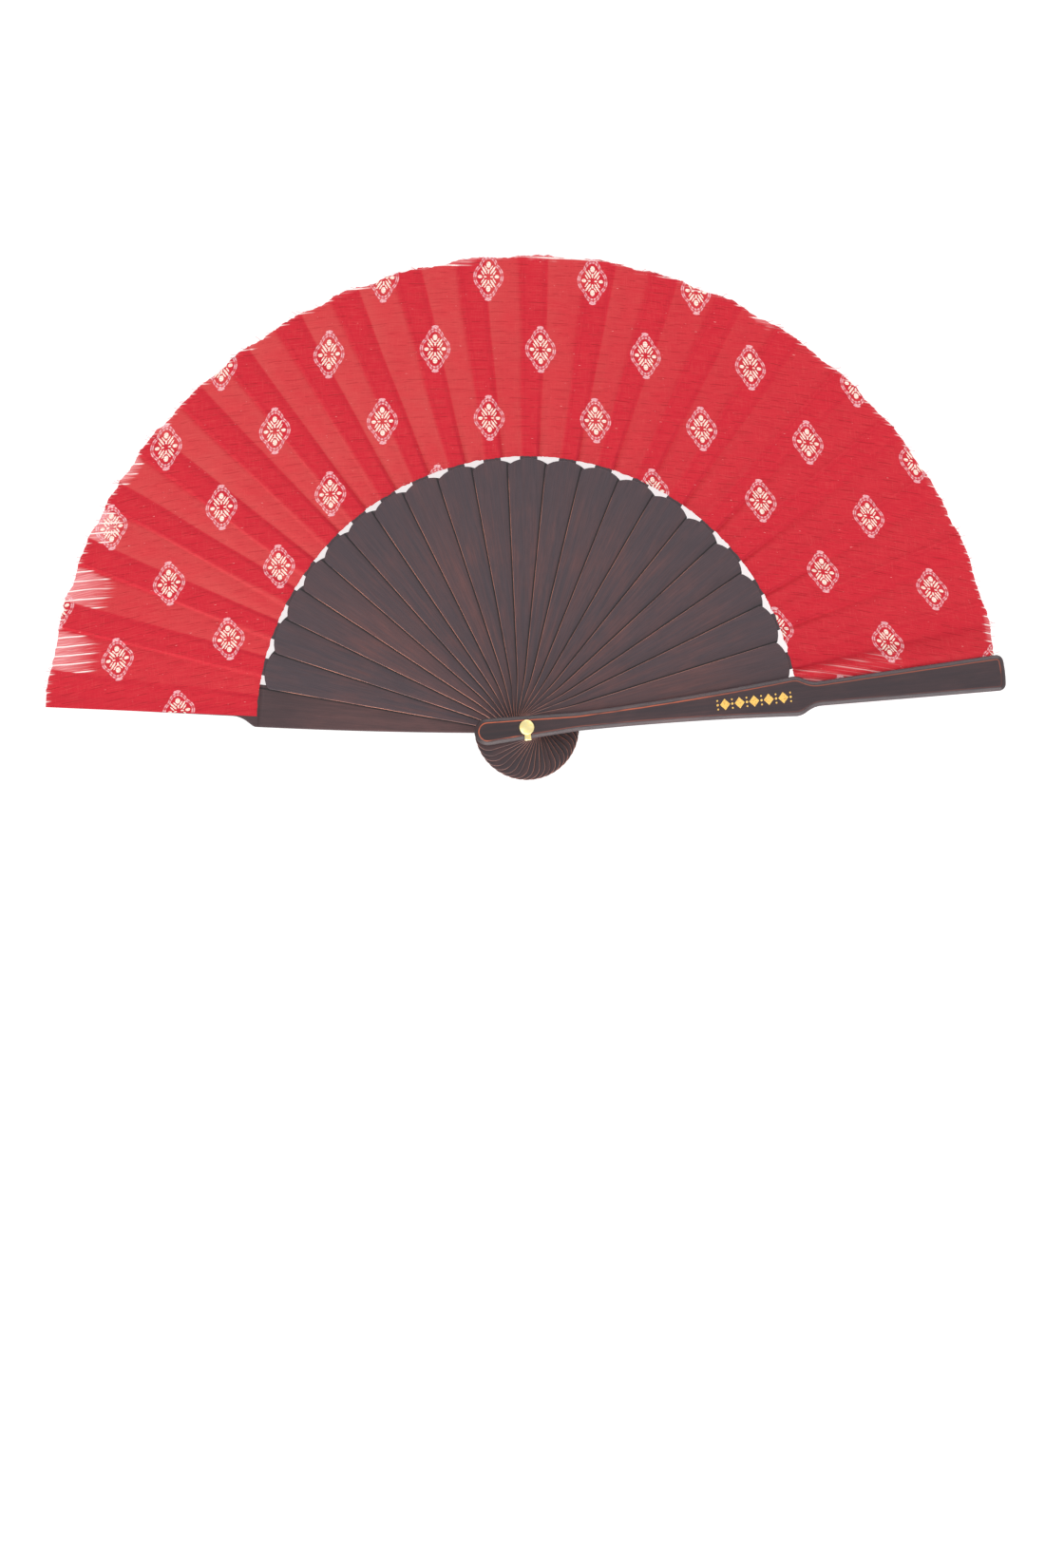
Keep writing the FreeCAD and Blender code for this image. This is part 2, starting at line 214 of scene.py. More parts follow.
def rgb(red, green, blue):
    """A display colour of 0 to 255 as the linear colour that a shader takes."""
    shares = [v / 255 for v in (red, green, blue)]
    return (*[((v + 0.055) / 1.055) ** 2.4 if v > 0.04 else v / 12.92 for v in shares], 1.0)


def mix(tree, share, first, second, blend="MIX"):
    node = tree.nodes.new("ShaderNodeMix")
    node.data_type, node.blend_type = "RGBA", blend
    put(tree, share, node.inputs["Factor"])
    put(tree, first, node.inputs[6])
    put(tree, second, node.inputs[7])
    return node.outputs[2]


def uv_terms(tree, name):
    node = tree.nodes.new("ShaderNodeUVMap")
    node.uv_map = name
    split = tree.nodes.new("ShaderNodeSeparateXYZ")
    tree.links.new(node.outputs[0], split.inputs[0])
    return Term(tree, split.outputs[0]), Term(tree, split.outputs[1])


def value_of(tree, name):
    node = tree.nodes.new("ShaderNodeAttribute")
    node.attribute_name = name
    return Term(tree, node.outputs["Fac"])


def noise_of(tree, across, along, detail=2.0, rough=0.5, seed=0.0):
    """Noise over two numbers, each already divided by the size of one blotch."""
    joined = tree.nodes.new("ShaderNodeCombineXYZ")
    put(tree, across, joined.inputs[0])
    put(tree, along, joined.inputs[1])
    joined.inputs[2].default_value = seed
    node = tree.nodes.new("ShaderNodeTexNoise")
    tree.links.new(joined.outputs[0], node.inputs["Vector"])
    node.inputs["Scale"].default_value = 1.0
    node.inputs["Detail"].default_value = detail
    node.inputs["Roughness"].default_value = rough
    return Term(tree, node.outputs[0])


def new_material(name):
    material = bpy.data.materials.new(name)
    material.use_nodes = True
    tree = material.node_tree
    return material, tree, tree.nodes["Principled BSDF"]


def add_bump(tree, shader, height, distance, strength=1.0):
    """Bump whose height is a number in units of distance, which is in millimetres."""
    node = tree.nodes.new("ShaderNodeBump")
    node.inputs["Distance"].default_value = distance * MM
    node.inputs["Strength"].default_value = strength
    put(tree, height, node.inputs["Height"])
    tree.links.new(node.outputs[0], shader.inputs["Normal"])


# ---------------------------------------------------------------- materials


def make_wood(name, body, red, worn, line_at, line_half):
    """Dark stained wood with a fine lengthwise grain, redder patches, and a stain worn through to
    orange along a line inside the outline, with painted shade darker towards the rivet and a painted
    shadow along the next rib's side. Each point's values say how far it is from the outline (rim),
    how red (tone), how worn (wear) and how far from the next rib's side, for that painted shadow (rub)."""
    material, tree, shader = new_material(name)
    along, across = uv_terms(tree, "grain")
    along, across = along * 100.0, across * 100.0
    rim, tone, wear, rub = (value_of(tree, n) for n in ("rim", "tone", "wear", "rub"))

    fine = noise_of(tree, along / 14.0, across / 0.28, 4.0, 0.6)
    pores = noise_of(tree, along / 5.0, across / 0.16, 2.0, 0.5, 3.0)
    broad = noise_of(tree, along / 45.0, across / 1.6, 3.0, 0.55, 7.0)
    patch = noise_of(tree, along / 18.0, across / 6.0, 3.0, 0.6, 11.0)

    redness = broad.ramp(0.35, 0.7) * 0.3 + patch.ramp(0.42, 0.75) * 0.4 + tone * 0.8
    redness = redness * along.ramp(80.0, 112.0, 1.0, 0.45)
    colour = mix(tree, redness.least(1.0), body, red)
    shade = fine.ramp(0.3, 0.7, 0.86, 1.13) * pores.ramp(0.28, 0.42, 0.74, 1.0)
    shade = shade * along.ramp(-12.0, 36.0, 0.66, 1.0)  # painted shade: darker towards the rivet, where the stacked heads lie over one another
    grey = tree.nodes.new("ShaderNodeCombineColor")
    for socket in grey.inputs[:3]:
        put(tree, shade, socket)
    colour = mix(tree, 1.0, colour, grey.outputs[0], "MULTIPLY")

    jitter = noise_of(tree, along / 7.0, across / 3.0, 3.0, 0.6, 19.0)
    line = (abs(rim + (jitter - 0.5) * 0.3 - line_at)).ramp(line_half * 0.3, line_half, 1.0, 0.0)
    worn_here = noise_of(tree, along / 22.0, across / 6.0, 3.0, 0.6, 23.0).ramp(0.3, 0.55, 0.15, 1.0)
    colour = mix(tree, (line * worn_here * wear).least(1.0), colour, worn)

    # painted shadow: a dark line in the corner where the next rib lies on this one, beside its edge
    painted_rib_shadow = abs(rub - 0.2).ramp(0.2, 0.65, 0.9, 0.0)
    colour = mix(tree, painted_rib_shadow, colour, rgb(20, 13, 15))

    tree.links.new(colour, shader.inputs["Base Color"])
    put(tree, fine.ramp(0.2, 0.8, 0.36, 0.5), shader.inputs["Roughness"])
    shader.inputs["Specular IOR Level"].default_value = 0.5
    add_bump(tree, shader, fine * 0.6 + pores.ramp(0.25, 0.45), 0.03, 0.6)
    return material


def speckle_of(tree, scale, detail):
    """Noise over the piece's own space, in metres."""
    place = tree.nodes.new("ShaderNodeTexCoord")
    node = tree.nodes.new("ShaderNodeTexNoise")
    node.inputs["Scale"].default_value = scale
    node.inputs["Detail"].default_value = detail
    tree.links.new(place.outputs["Object"], node.inputs["Vector"])
    return Term(tree, node.outputs[0])


def make_brass():
    """Polished brass with small dull spots."""
    material, tree, shader = new_material("brass_polished")
    amount = speckle_of(tree, 900.0, 4.0)
    colour = mix(tree, amount.ramp(0.4, 0.7), rgb(255, 240, 178), rgb(250, 226, 150))
    tree.links.new(colour, shader.inputs["Base Color"])
    put(tree, amount.ramp(0.3, 0.75, 0.32, 0.5), shader.inputs["Roughness"])
    shader.inputs["Metallic"].default_value = 1.0
    add_bump(tree, shader, amount, 0.02, 0.5)
    return material


def make_gilding():
    """Gold foil pressed into the wood, a little rubbed."""
    material, tree, shader = new_material("gilding_foil")
    amount = speckle_of(tree, 1600.0, 3.0)
    colour = mix(tree, amount.ramp(0.5, 0.72), rgb(255, 208, 110), rgb(206, 128, 66))
    tree.links.new(colour, shader.inputs["Base Color"])
    shader.inputs["Metallic"].default_value = 0.35
    put(tree, amount.ramp(0.3, 0.7, 0.3, 0.5), shader.inputs["Roughness"])
    add_bump(tree, shader, amount, 0.03, 0.6)
    return material


MOTIF_STEP_X, MOTIF_STEP_Y = 23.5, 31.8
MOTIF_HALF_X, MOTIF_HALF_Y = 6.8, 9.7


def motif_place(x, y):
    """Where a point of the cloth is inside its nearest motif, from -1 to 1 each way. Motifs lie in
    columns, every other column half a step down."""
    x, y = x.wrapped(MOTIF_STEP_X), (y + MOTIF_STEP_Y).wrapped(MOTIF_STEP_Y)
    corner = (abs(x) / MOTIF_STEP_X + abs(y) / MOTIF_STEP_Y).math("GREATER_THAN", 1.0)
    u = (x - x.math("SIGN") * corner * MOTIF_STEP_X) / MOTIF_HALF_X
    v = (y - y.math("SIGN") * corner * MOTIF_STEP_Y) / MOTIF_HALF_Y
    return u, v


def oval(u, v, at_u, at_v, half_u, half_v):
    """1 inside an oval and 0 outside it, with a soft edge."""
    reach = ((u - at_u) / half_u) ** 2.0 + ((v - at_v) / half_v) ** 2.0
    return reach.ramp(0.75, 1.25, 1.0, 0.0)


def make_cloth():
    """Thin red cloth with a horizontal weft, darker slubs, woven flower motifs, and places near
    the outer edge where the weft is pulled away and only pale warp shows."""
    material, tree, shader = new_material("leaf_cloth_red")
    x, y = uv_terms(tree, "cloth")
    x, y = x * 100.0, y * 100.0
    light, pulled, shadow = (value_of(tree, n) for n in ("light", "pulled", "crease"))

    wander = noise_of(tree, x / 22.0, y / 16.0, 2.0, 0.5, 5.0)
    y_line = y + (wander - 0.5) * 3.0

    weft = noise_of(tree, x / 9.0, y_line / 0.3, 3.0, 0.6)
    warp = noise_of(tree, x / 0.3, y / 7.0, 2.0, 0.5, 4.0)
    blotch = noise_of(tree, x / 16.0, y / 10.0, 3.0, 0.6, 9.0)

    # painted light: the pale facets (light) take the lighter red, the rest keeps the cloth's own red
    dark_red, lit_facet_red = rgb(197, 26, 45), rgb(203, 72, 71)
    colour = mix(tree, light, dark_red, lit_facet_red)
    colour = mix(tree, blotch.ramp(0.35, 0.75) * 0.3, colour, rgb(210, 38, 52))
    colour = mix(tree, weft.ramp(0.45, 0.75) * 0.3, colour, rgb(221, 88, 84))
    colour = mix(tree, weft.ramp(0.5, 0.25) * 0.35, colour, rgb(192, 25, 44))
    colour = mix(tree, warp.ramp(0.5, 0.8) * 0.18, colour, rgb(225, 98, 92))

    # slubs: thin dark dashes, some along evenly spaced lines and some anywhere
    rows = abs((y_line / 4.3).wrapped(0.5)).ramp(0.02, 0.06, 1.0, 0.0)
    broken = noise_of(tree, x / 9.0, y_line / 4.3, 3.0, 0.6, 13.0).ramp(0.46, 0.56)
    between = abs((y_line / 2.15 + 0.4).wrapped(0.5)).ramp(0.04, 0.1, 1.0, 0.0)
    rarer = noise_of(tree, x / 7.0, y_line / 2.15, 3.0, 0.6, 15.0).ramp(0.54, 0.62)
    stray = noise_of(tree, x / 9.0, y_line / 0.5, 1.0, 0.5, 17.0).ramp(0.68, 0.76)
    slubs = (rows * broken * 0.8).most(between * rarer * 0.6).most(stray * 0.55)
    slubs = slubs * (light * -0.6 + 1.0)
    colour = mix(tree, slubs, colour, rgb(158, 22, 32))
    colour = mix(tree, shadow, colour, rgb(176, 18, 40))

    # short pale pulls, here and there
    nick = noise_of(tree, x / 2.2, y_line / 0.3, 0.0, 0.5, 29.0).ramp(0.86, 0.88)
    colour = mix(tree, nick * 0.7, colour, rgb(245, 196, 190))

    # where the weft is pulled away: a pale haze with thin white threads left across it
    haze = noise_of(tree, x / 14.0, y / 0.5, 3.0, 0.6, 31.0).ramp(0.3, 0.7, 0.3, 1.0)
    haze = haze * (pulled - 0.25).most(0.0) * 1.2
    colour = mix(tree, haze.least(0.75), colour, rgb(238, 160, 162))
    strand_y = y + wander * 1.2 + (x + 120.0).least(0.0) * 0.17
    strands = abs((strand_y / 4.4).wrapped(0.5)).ramp(0.035, 0.085, 1.0, 0.0)
    thin = abs((strand_y / 1.47).wrapped(0.5)).ramp(0.05, 0.14, 0.28, 0.0)
    kept = noise_of(tree, x / 30.0, strand_y / 4.4, 1.0, 0.5, 33.0).ramp(0.35, 0.5)
    kept_thin = noise_of(tree, x / 14.0, strand_y / 1.47, 1.0, 0.5, 35.0).ramp(0.45, 0.55)
    threads = (strands * kept).most(thin * kept_thin) * pulled.ramp(0.1, 0.4)
    colour = mix(tree, threads * 0.95, colour, rgb(255, 244, 240))

    # the motif: a double string of beads in a stepped lozenge, round petals and diagonal leaves
    u, v = motif_place(x + (weft - 0.5) * 0.5, y)
    au, av = abs(u), abs(v)
    upright = ((au / 0.72) ** 2.0 + av**2.0) ** 0.5
    level = (au**2.0 + (av / 0.67) ** 2.0) ** 0.5
    span = upright.least(level)
    bead_turn = (u * 1.25).math("ARCTAN2", v)
    beads = (bead_turn * 20.0).math("SINE").ramp(-0.8, 0.1)
    band = span.ramp(0.78, 0.82) * span.ramp(0.98, 1.02, 1.0, 0.0)
    split = abs(span - 0.9).ramp(0.008, 0.03)
    finial = oval(au, av, 0.0, 1.02, 0.22, 0.07)
    outline = (band * split * beads.most(0.25)).most(finial)
    petals = oval(au, av, 0.0, 0.54, 0.15, 0.14).most(oval(au, av, 0.56, 0.0, 0.15, 0.08))
    p, q = (au + av) * 0.7071, (au - av) * 0.7071
    leaves = oval(p, abs(q), 0.41, 0.0, 0.24, 0.055).most(oval(p, abs(q), 0.4, 0.15, 0.15, 0.04))
    heart = oval(au, av, 0.0, 0.24, 0.06, 0.1).most(oval(au, av, 0.22, 0.0, 0.1, 0.04))
    inside = petals.most(leaves).most(heart)
    cut = abs((y / 0.8).wrapped(0.5)).ramp(0.5, 0.3) * 0.6 + 0.4
    fleck = noise_of(tree, x / 0.7, y / 0.5, 2.0, 0.6, 37.0)
    lilac = mix(tree, fleck.ramp(0.4, 0.62), rgb(252, 216, 212), rgb(224, 156, 178))
    cream = mix(tree, fleck.ramp(0.42, 0.62), rgb(255, 246, 236), rgb(246, 206, 182))
    silk = mix(tree, inside, lilac, cream)
    motif = (outline * 0.72).most(inside * cut) * fleck.ramp(0.15, 0.35, 0.6, 1.0)
    colour = mix(tree, motif, colour, silk)

    tree.links.new(colour, shader.inputs["Base Color"])
    shader.inputs["Roughness"].default_value = 0.82
    shader.inputs["Specular IOR Level"].default_value = 0.25
    shader.inputs["Sheen Weight"].default_value = 0.12
    shader.inputs["Sheen Roughness"].default_value = 0.5
    crumple = noise_of(tree, x / 8.0, y / 3.2, 4.0, 0.6, 41.0)
    grain = abs((y / 0.42).wrapped(0.5)) + abs((x / 0.42).wrapped(0.5))
    height = crumple * 5.0 + weft * 0.6 + grain * 0.25 + motif * 0.8 + threads * pulled
    add_bump(tree, shader, height, 0.1, 0.8)
    return material


# ---------------------------------------------------------------- sticks


def arc(centre, start, end, steps):
    """Points from start to end, the short way round a centre."""
    radius = (start - centre).length
    first = math.atan2(start.y - centre.y, start.x - centre.x)
    turn = math.atan2(end.y - centre.y, end.x - centre.x) - first
    turn = (turn + math.pi) % (2 * math.pi) - math.pi
    angles = [first + turn * n / steps for n in range(steps + 1)]
    return [centre + Vector((math.cos(a), math.sin(a))) * radius for a in angles]


def rounded(corners, steps=9):
    """A polyline through corners of (x, y, radius), each rounded by an arc of that radius."""
    points = []
    for before, here, after in zip(corners, corners[1:], corners[2:]):
        corner, radius = Vector(here[:2]), here[2]
        back = (Vector(before[:2]) - corner).normalized()
        ahead = (Vector(after[:2]) - corner).normalized()
        half = back.angle(ahead) / 2
        if radius == 0 or half > math.radians(89.9):
            points.append(corner)
            continue
        centre = corner + (back + ahead).normalized() * radius / math.sin(half)
        run = radius / math.tan(half)
        points += arc(centre, corner + back * run, corner + ahead * run, steps)
    return [Vector(corners[0][:2])] + points + [Vector(corners[-1][:2])]


def arc_through(first, middle, last, steps):
    """Points of the circle through three, without its two ends, as corners of no radius."""
    (ax, ay), (bx, by), (cx, cy) = first, middle, last
    d = 2 * (ax * (by - cy) + bx * (cy - ay) + cx * (ay - by))
    a2, b2, c2 = ax * ax + ay * ay, bx * bx + by * by, cx * cx + cy * cy
    ux = (a2 * (by - cy) + b2 * (cy - ay) + c2 * (ay - by)) / d
    uy = (a2 * (cx - bx) + b2 * (ax - cx) + c2 * (bx - ax)) / d
    centre = Vector((ux, uy))
    return [(*p, 0.0) for p in arc(centre, Vector(first), Vector(last), steps)[1:-1]]


def crown(shoulder_at, shoulder_half, shoulder_round, reach):
    """The arc that ends a stick, from clear of its left corner's rounding to its middle."""
    first, last = (shoulder_at, shoulder_half), (shoulder_at, -shoulder_half)
    steps = 36
    points = arc_through(first, (reach, 0.0), last, steps)[: steps // 2]
    return [p for p in points if math.dist(p[:2], first) > shoulder_round * 1.15 + 0.3]


def rib_outline():
    corners = [(-HEAD_REACH, 0.0, 0.0), (-HEAD_REACH, HEAD_HALF, HEAD_ROUND)]
    corners.append((WAIST_AT, WAIST_HALF, WAIST_ROUND))
    corners.append((RIB_SHOULDER_AT, RIB_SHOULDER_HALF, RIB_CORNER_ROUND))
    corners += crown(RIB_SHOULDER_AT, RIB_SHOULDER_HALF, RIB_CORNER_ROUND, RIB_REACH)
    return rounded(corners)


def guard_outline(swell_half, shoulder_half, shoulder_round):
    corners = [(-HEAD_REACH, 0.0, 0.0), (-HEAD_REACH, HEAD_HALF, HEAD_ROUND)]
    corners.append((WAIST_AT, WAIST_HALF, GUARD_WAIST_ROUND))
    waist, shoulder = (WAIST_AT, WAIST_HALF), (SHOULDER_AT, shoulder_half)
    blade = arc_through(waist, (SWELL_AT, swell_half), shoulder, 16)
    corners += [p for p in blade if WAIST_AT + 8.0 < p[0] < SHOULDER_AT - 5.0]
    corners.append((SHOULDER_AT, shoulder_half, shoulder_round))
    corners.append((NECK_AT, NECK_HALF, NECK_ROUND))
    corners.append((TIP_AT, TIP_HALF, TIP_ROUND))
    corners += crown(TIP_AT, TIP_HALF, TIP_ROUND, GUARD_REACH)
    return rounded(corners)


def slip_outline():
    """The narrow stick that goes on from a rib's blade under the leaf."""
    corners = [(STICK_ROOT_AT, 0.0, 0.0), (STICK_ROOT_AT, STICK_ROOT_HALF, 0.5)]
    corners.append((STICK_TIP_AT, STICK_TIP_HALF, STICK_TIP_ROUND))
    corners += crown(STICK_TIP_AT, STICK_TIP_HALF, STICK_TIP_ROUND, STICK_REACH)
    return rounded(corners)


def refined(left, longest, wanted=()):
    """The same left side with no step longer than longest, and with points at the wanted X."""
    points = [left[0]]
    for a, b in zip(left, left[1:]):
        inside = [(x - a.x) / (b.x - a.x) for x in wanted if a.x < x < b.x]
        count = max(1, math.ceil((b - a).length / longest))
        inside += [n / count for n in range(1, count)]
        points += [a.lerp(b, t) for t in sorted(inside)] + [b]
    kept = [points[0]]
    for p in points[1:]:
        if (p - kept[-1]).length > 0.04:
            kept.append(p)
    kept[-1] = left[-1]
    return kept


def inset_ring(left, depth):
    """The closed outline of a left side and its mirror image, moved inwards."""
    loop = left + [Vector((p.x, -p.y)) for p in left[-2:0:-1]]
    ring = []
    for n, p in enumerate(loop):
        back, ahead = p - loop[n - 1], loop[(n + 1) % len(loop)] - p
        normals = [Vector((-e.y, e.x)).normalized() for e in (back, ahead)]
        out = (normals[0] + normals[1]).normalized()
        ring.append(p - out * depth / max(0.5, out.dot(normals[0])))
    return ring


ROWS = 3  # lengthwise strips on each half of a flat face
HOLE_STEPS = (-2.6, -1.3, 0.0, 1.3, 2.6)  # X of the faces round a stick's hole


class Shell:
    """Points and faces of one closed solid drawn along its own +X."""

    def __init__(self):
        self.points, self.faces = [], []

    def add(self, ring, z):
        """Adds a ring of points at a height, which may depend on their X, and returns their numbers."""
        first = len(self.points)
        self.points += [(p[0], p[1], z(p[0]) if callable(z) else z) for p in ring]
        return list(range(first, first + len(ring)))

    def bridge(self, low, high):
        """Closes the band between two rings."""
        for n in range(len(low)):
            after = (n + 1) % len(low)
            self.faces.append((low[n], high[n], high[after], low[after]))

    def cap(self, ring, z, upwards, block):
        """Fills a mirrored ring with strips, but for a block of them round a hole at the origin,
        and returns the hole's own ring."""
        half = len(ring) // 2
        table = []
        for n in range(half + 1):
            left, right = ring[n], ring[-n]
            if n in (0, half):
                table.append([ring[n]] * (2 * ROWS + 1))
                continue
            a, b = self.points[left], self.points[right]
            inner = [
                ((a[0] * (1 - t) + b[0] * t), (a[1] * (1 - t) + b[1] * t))
                for t in (k / (2 * ROWS) for k in range(1, 2 * ROWS))
            ]
            table.append([left] + self.add(inner, z) + [right])
        for n in range(half):
            for k in range(2 * ROWS):
                if n in block and 0 < k < 2 * ROWS - 1:
                    continue
                face = [table[n][k], table[n + 1][k], table[n + 1][k + 1], table[n][k + 1]]
                face = list(dict.fromkeys(face))
                self.faces.append(face[::-1] if upwards else face)
        if not block:
            return []
        # the edge of the removed block, once round
        start, end = block[0], block[-1] + 1
        rim = [table[n][1] for n in range(start, end)]
        rim += [table[end][k] for k in range(1, 2 * ROWS - 1)]
        rim += [table[n][2 * ROWS - 1] for n in range(end, start, -1)]
        rim += [table[start][k] for k in range(2 * ROWS - 1, 1, -1)]
        circle = []
        for index in rim:
            spoke = Vector(self.points[index][:2]).normalized() * BORE_RADIUS
            circle.append((spoke.x, spoke.y))
        bore = self.add(circle, z)
        if upwards:
            self.bridge(bore, rim)
        else:
            self.bridge(rim, bore)
        return bore

    def solid(self, left, profile, hole):
        """A solid whose side is a profile of (inset, height) from its lower face to its upper."""
        rings = [self.add(inset_ring(left, inset), z) for inset, z in profile]
        for low, high in zip(rings, rings[1:]):
            self.bridge(low, high)
        block = []
        if hole:
            block = [n for n, p in enumerate(left) if HOLE_STEPS[0] - 0.01 < p.x < HOLE_STEPS[-1] - 0.01]
        lower = self.cap(rings[0], profile[0][1], False, block)
        upper = self.cap(rings[-1], profile[-1][1], True, block)
        if hole:
            self.bridge(upper, lower)


# the side of a stick, as (inset from its outline, height), from its lower face to its upper
RIB_EDGE = [
    (0.9, 0.0), (0.32, 0.0), (0.1, 0.06), (0.0, 0.24), (0.0, 0.74),
    (0.06, 0.9), (0.2, 0.985), (0.4, 1.0), (0.9, 1.0),
]  # fmt: skip
SLIP_EDGE = [(0.5, 0.03), (0.15, 0.03), (0.0, 0.12), (0.0, 0.36)]
SLIP_EDGE += [(0.15, STICK_THICK), (0.5, STICK_THICK)]
GUARD_EDGE = [
    (1.2, 0.0), (0.35, 0.0), (0.1, 0.1), (0.0, 0.35), (0.0, 1.72), (0.06, 1.92), (0.2, 2.12),
    (0.6, 2.52), (1.1, 2.98), (1.55, 3.3), (1.85, 3.43), (2.15, 3.49), (2.5, 3.5),
]  # fmt: skip


def rebated(z):
    """The lower face of a guard steps up where the leaf lies under it."""
    return lambda x: z + REBATE_DEEP if x > REBATE_FROM else z


def distance_to(loop, points):
    """How far each point is from a closed outline."""
    a = np.array([tuple(p) for p in loop])
    b = np.roll(a, -1, axis=0)
    p = np.array([q[:2] for q in points])[:, None, :]
    along = b - a
    t = ((p - a) * along).sum(2) / np.maximum((along**2).sum(1), 1e-12)
    near = a + np.clip(t, 0, 1)[..., None] * along
    return np.sqrt(((p - near) ** 2).sum(2)).min(1)


FAR = 99.0  # an offset for sticks that no rib lies on, so no painted shadow falls on them


def past_next(number, points):
    """How far each point of a stick is to the left of the next rib's left side, which lies on it and
    along which a painted shadow goes.
    """
    gap = math.radians(GAPS[STICKS[number + 1]])
    side = math.atan2(RIB_SHOULDER_HALF - WAIST_HALF, RIB_SHOULDER_AT - WAIST_AT)
    start = Vector((WAIST_AT, WAIST_HALF))
    c, s = math.cos(gap), math.sin(gap)
    start = Vector((start.x * c + start.y * s, start.y * c - start.x * s))
    along = Vector((math.cos(side - gap), math.sin(side - gap)))
    return [along.x * (y - start.y) - along.y * (x - start.x) for x, y, _ in points]


def lay_stick(name, shell, rim, number, flipped, tone, wear):
    """Turns a stick to its place and gives each point its values. A flipped one, the back guard,
    lies with its bevelled face down."""
    points, faces = shell.points, shell.faces
    if flipped:
        points = [(x, y, GUARD_THICK - z) for x, y, z in points]
        faces = [face[::-1] for face in faces]
    piece = new_mesh(name, turned(points, TURNS[number], LEVELS[number]), faces)
    shift = number * 37.0  # so that no two sticks have the same grain
    add_uv(piece, "grain", [(x / 100, (y + shift) / 100) for x, y, _ in points])
    add_values(piece, "rim", rim)
    add_values(piece, "tone", tone)
    add_values(piece, "wear", wear)
    under_a_rib = number < RIBS
    add_values(piece, "rub", past_next(number, points) if under_a_rib else [FAR] * len(points))
    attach(piece, STICKS[number])
    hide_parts(STICKS[number])
    return piece


def make_ribs(material):
    left = refined(rib_outline(), 3.5, HOLE_STEPS)
    slip = refined(slip_outline(), 5.0)
    shell = Shell()
    shell.solid(left, RIB_EDGE, True)
    blade_points = len(shell.points)
    shell.solid(slip, SLIP_EDGE, False)
    rim = np.concatenate([
        distance_to(inset_ring(left, 0.0), shell.points[:blade_points]),
        distance_to(inset_ring(slip, 0.0), shell.points[blade_points:]),
    ])
    # some ribs are cut from redder wood
    redder = {1: 0.0, 2: 0.0, 3: 0.22, 4: 0.35, 8: 0.25, 20: 0.35}
    for number in range(1, RIBS + 1):
        tone = [redder.get(number, 0.08 * random.random())] * len(shell.points)
        # worn along the upper edges, less round the head, and not round the scallop
        wear = []
        for x, _, z in shell.points:
            place = (1.0 - smooth((x - 106.0) / 7.0)) * (0.75 + 0.25 * smooth((x + 8.0) / 14.0))
            wear.append((1.0 - 0.03 * number) * place * smooth((z - 0.7) / 0.2))
        piece = lay_stick("rib_%02d_wood" % number, shell, rim, number, False, tone, wear)
        piece.data.materials.append(material)


def make_guards(material):
    back = (BACK_SWELL_HALF, BACK_SHOULDER_HALF, BACK_SHOULDER_ROUND)
    front = (SWELL_HALF, SHOULDER_HALF, SHOULDER_ROUND)
    steps = HOLE_STEPS + (REBATE_FROM - 0.05, REBATE_FROM + 0.05)
    for number, measures in ((0, back), (RIBS + 1, front)):
        is_back = number == 0
        left = refined(guard_outline(*measures), 3.5, steps)
        thick = GUARD_THICK - (FOOT_PROUD if is_back else 0.0)
        profile = [(inset, rebated(z) if z < 1.0 else min(z, thick)) for inset, z in GUARD_EDGE]
        shell = Shell()
        shell.solid(left, profile, True)
        rim = distance_to(inset_ring(left, 0.0), shell.points)
        # the stain is worn through round the head and along the bevel nearer the ribs, but not on
        # the flat inner face, which is a lighter and redder brown
        tone, wear = [], []
        for x, y, z in shell.points:
            inner_face = z < 1.0
            tone.append(0.75 if inner_face else 0.05)
            side = 1.0 if y > 0 or x < -6.0 else 0.22
            faded = 1.0 - 0.55 * smooth((x - 60.0) / 60.0)
            wear.append(0.0 if inner_face else side * faded)
        piece = lay_stick(STICKS[number] + "_wood", shell, rim, number, is_back, tone, wear)
        piece.data.materials.append(material)


# ---------------------------------------------------------------- brass


def lathe(profile, level, steps=56):
    """The points and faces of a round piece from a profile of (radius, height), which starts and
    ends on the axis or closes on itself."""
    points, faces, rings = [], [], []
    for radius, z in profile:
        first = len(points)
        if radius == 0:
            points.append((0.0, 0.0, level + z))
            rings.append([first] * steps)
            continue
        for n in range(steps):
            a = 2 * math.pi * n / steps
            points.append((radius * math.cos(a), radius * math.sin(a), level + z))
        rings.append(list(range(first, first + steps)))
    for low, high in zip(rings, rings[1:]):
        for n in range(steps):
            after = (n + 1) % steps
            faces.append(list(dict.fromkeys((low[n], low[after], high[after], high[n]))))
    return points, faces


def dress_rivet(material):
    """The rivet keeps its own solid, and takes the brass."""
    rivet = frame["nodes"]["rivet"]
    rivet.data.materials.clear()
    rivet.data.materials.append(material)


def make_cap(material):
    """A domed disc with a rounded rim."""
    r, start, steps = WASHER_RADIUS, CAP_RIM + 0.05, 12
    dome = [(r - 0.08, start)]
    for n in range(1, steps + 1):
        out = (r - 0.2) * (1 - n / steps)
        dome.append((out, start + (CAP_HEIGHT - start) * (1 - (out / r) ** 2)))
    profile = [(0.0, 0.0), (r - 0.12, 0.0), (r - 0.03, 0.04), (r, 0.14), (r, CAP_RIM - 0.06)]
    piece = new_mesh("rivet_cap_brass", *lathe(profile + dome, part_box("rivet_cap")[0].z / MM))
    piece.data.materials.append(material)
    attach(piece, "back_guard")
    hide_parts("rivet_cap")


